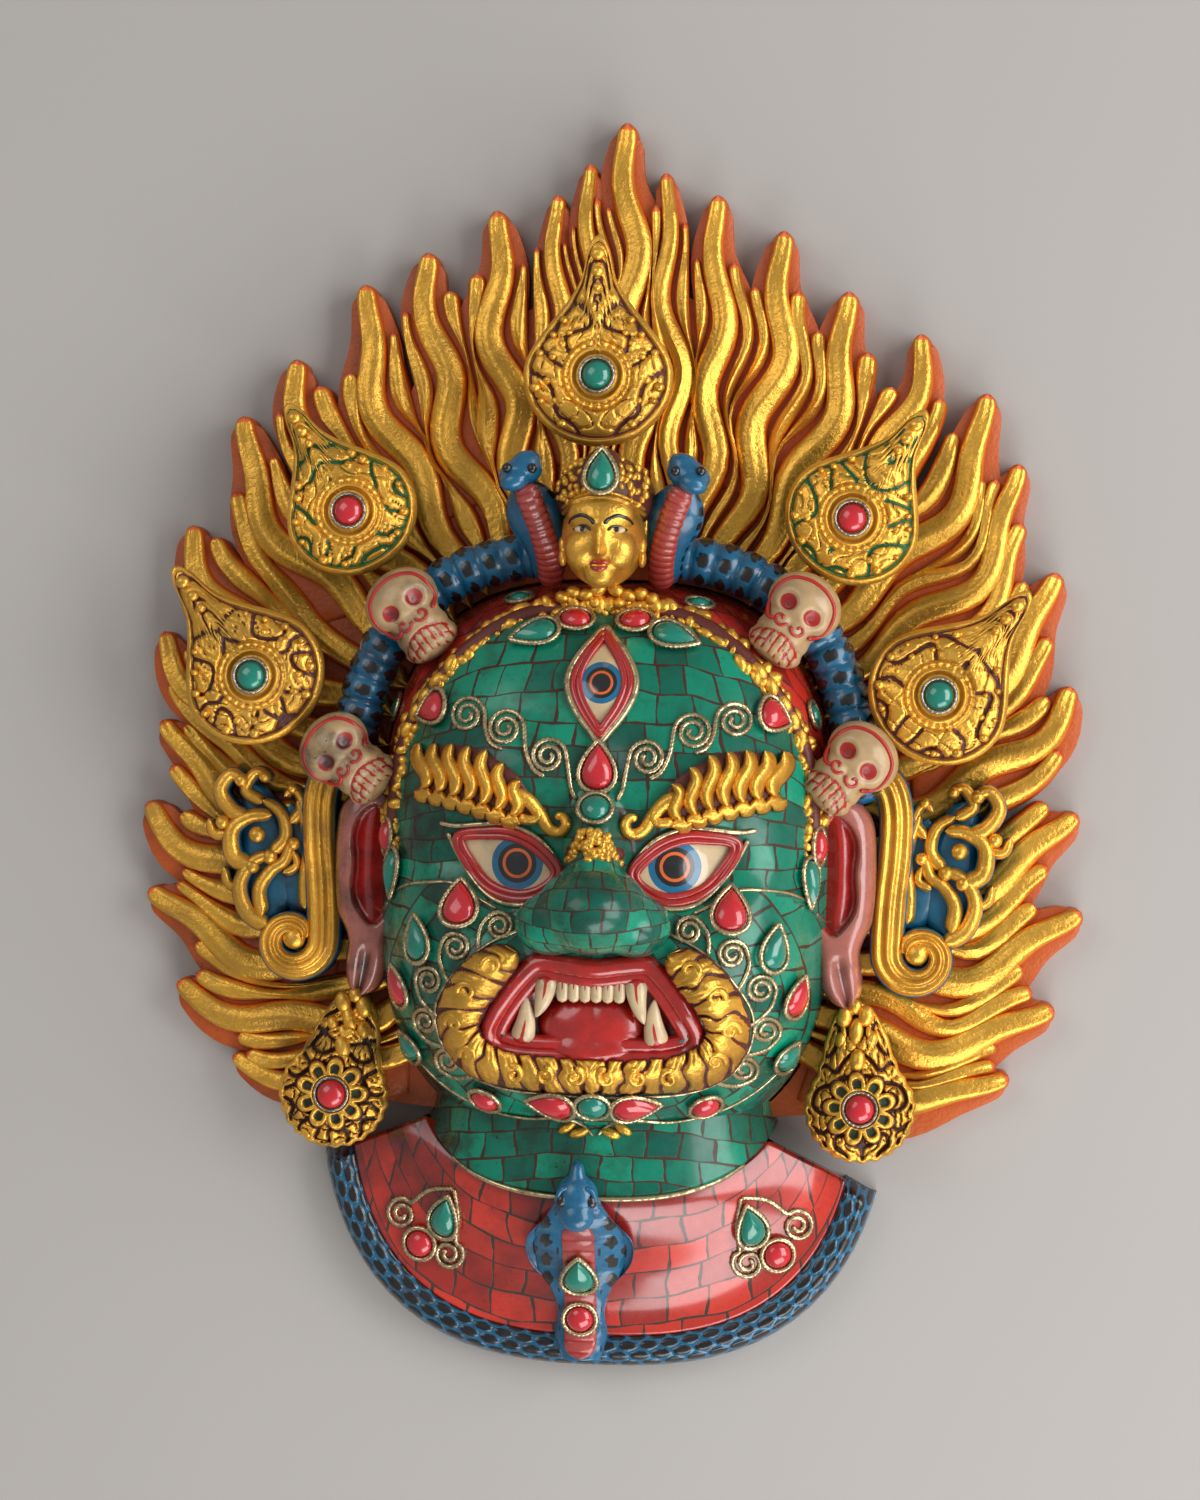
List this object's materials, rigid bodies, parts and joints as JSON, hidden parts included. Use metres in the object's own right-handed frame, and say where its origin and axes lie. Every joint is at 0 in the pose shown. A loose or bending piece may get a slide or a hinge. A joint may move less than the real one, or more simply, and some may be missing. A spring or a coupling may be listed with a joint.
{
  "type": "tibetan cham mask",
  "caption": "Wall mask of a wrathful protector: hollow inlaid face in a halo of gilt flames, with a crown of skulls and leaves, jewelled collar and rearing snakes.",
  "frame": {"origin": "centre of the bounding box, on the flat back of the mask", "axes": "+Z out of the back through the nose, +Y from the collar to the topmost flame tip, +X to the viewer's right"},
  "size_m": [0.2844, 0.3764, 0.09],
  "materials": {
    "gilt_flames": "gold leaf over orange-red paint, burnished crests, dark wash in the grooves",
    "gilt_relief": "gold leaf on cast relief, with maroon, blue or green colour left in the recesses",
    "turquoise_mosaic": "flat turquoise chips set in brown filler, ground and polished",
    "coral_mosaic": "flat coral chips set in brown filler, ground and polished",
    "blue_enamel": "blue paint with black scales, satin",
    "bone_white": "aged cream paint with red line work, satin",
    "turquoise_stone": "polished turquoise cabochon",
    "coral_stone": "polished coral cabochon"
  },
  "bodies": {
    "root": {"flame_halo": "gilt_flames", "face_mask": "turquoise_mosaic", "breast_collar": "coral_mosaic", "collar_snake": "blue_enamel", "crown_leaf_left_low": "gilt_relief", "crown_leaf_left_high": "gilt_relief", "crown_leaf_top": "gilt_relief", "crown_leaf_right_high": "gilt_relief", "crown_leaf_right_low": "gilt_relief", "skull_left_low": "bone_white", "skull_left_high": "bone_white", "skull_right_high": "bone_white", "skull_right_low": "bone_white", "crown_head": "gilt_relief", "crown_snake_left": "blue_enamel", "crown_snake_right": "blue_enamel", "ear_scroll_left": "gilt_relief", "ear_scroll_right": "gilt_relief", "earring_left": "gilt_relief", "earring_right": "gilt_relief", "leaf_stone_left_low": "turquoise_stone", "leaf_stone_left_high": "coral_stone", "leaf_stone_top": "turquoise_stone", "leaf_stone_right_high": "coral_stone", "leaf_stone_right_low": "turquoise_stone", "earring_stone_right": "coral_stone", "earring_stone_left": "coral_stone", "diadem_turquoise": "turquoise_stone", "forehead_coral_right": "coral_stone", "forehead_coral_left": "coral_stone", "forehead_turquoise_right": "turquoise_stone", "forehead_turquoise_left": "turquoise_stone", "temple_coral_right": "coral_stone", "temple_coral_left": "coral_stone", "brow_drop_coral": "coral_stone", "brow_turquoise": "turquoise_stone", "cheek_coral_right": "coral_stone", "cheek_coral_left": "coral_stone", "cheek_turquoise_right": "turquoise_stone", "cheek_turquoise_left": "turquoise_stone", "jowl_coral_right": "coral_stone", "jowl_coral_left": "coral_stone", "jowl_turquoise_right": "turquoise_stone", "jowl_turquoise_left": "turquoise_stone", "chin_corner_coral_right": "coral_stone", "chin_corner_coral_left": "coral_stone", "chin_coral_right": "coral_stone", "chin_coral_left": "coral_stone", "chin_turquoise": "turquoise_stone", "ear_coral_right": "coral_stone", "ear_coral_left": "coral_stone", "ear_turquoise_right": "turquoise_stone", "ear_turquoise_left": "turquoise_stone", "collar_turquoise_right": "turquoise_stone", "collar_turquoise_left": "turquoise_stone", "collar_coral_right": "coral_stone", "collar_coral_left": "coral_stone", "cobra_turquoise": "turquoise_stone", "cobra_coral": "coral_stone"}
  },
  "joints": []
}
